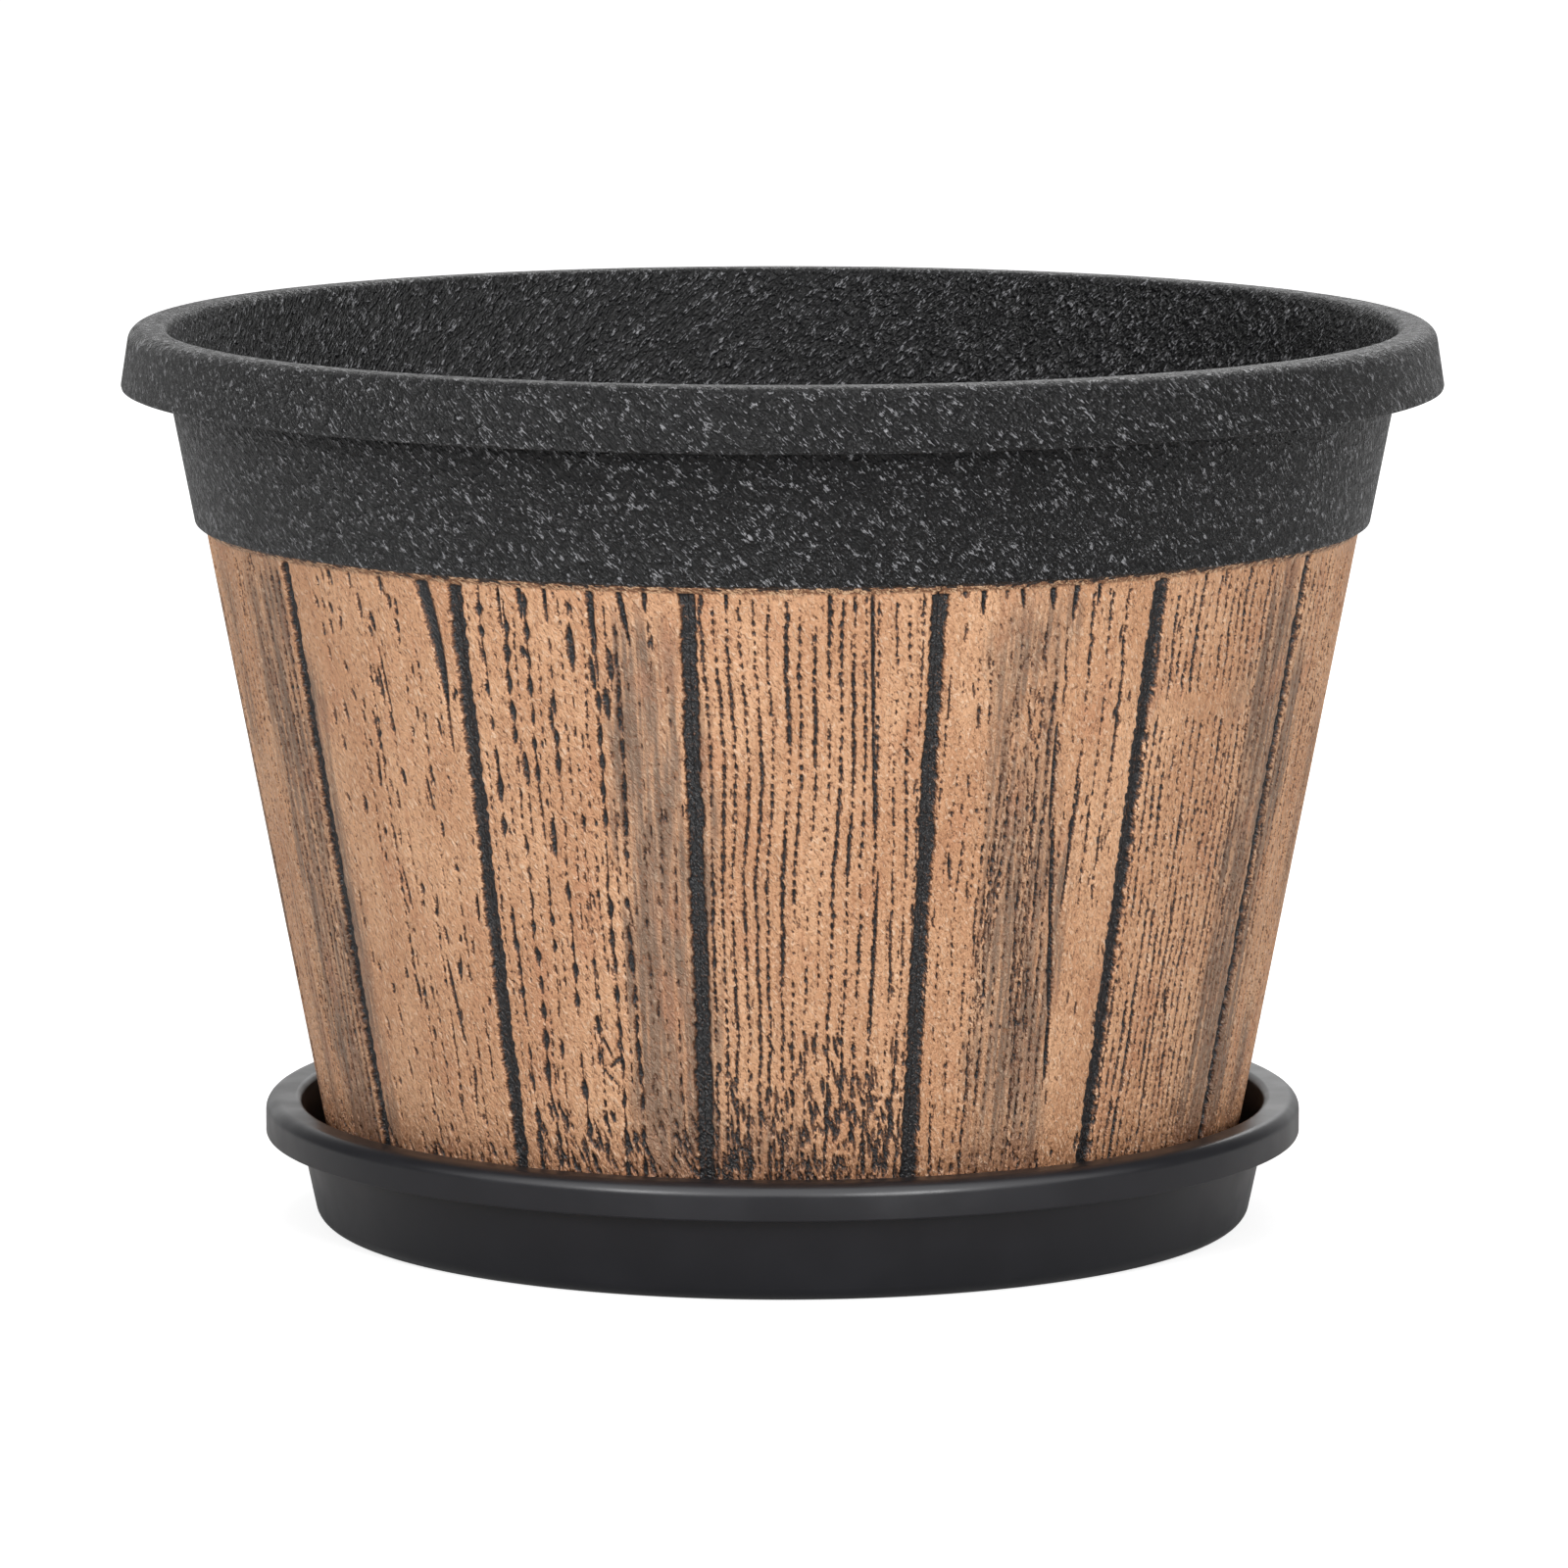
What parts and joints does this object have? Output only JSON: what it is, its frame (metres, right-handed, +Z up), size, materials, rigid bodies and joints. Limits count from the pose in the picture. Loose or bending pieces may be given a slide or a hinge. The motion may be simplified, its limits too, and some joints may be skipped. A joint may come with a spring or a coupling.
{
  "type": "tapered planter with saucer",
  "caption": "Round tapered planter whose moulded wall looks like wooden planks, with a rolled lip, a plain dark band and a drained floor, standing in a low matching saucer.",
  "frame": {"origin": "centre of the flat ring on the ground that the saucer stands on", "axes": "+Z up along the planter's axis; the side shown in the picture faces -Y, with +X to its right"},
  "size_m": [0.305, 0.305, 0.2085],
  "materials": {
    "wood_print_plastic": "tan and grey-brown wood print on the raised faces of black moulded grain",
    "black_plastic": "satin moulded black, pebbled on the pot's lip and band"
  },
  "bodies": {
    "saucer": {"saucer": "black_plastic"},
    "pot": {"pot": "wood_print_plastic"}
  },
  "joints": [
    {"name": "pot_lift", "type": "slide", "parent": "saucer", "child": "pot", "axis": [0, 0, 1], "range_m": [0, 0.06]}
  ]
}
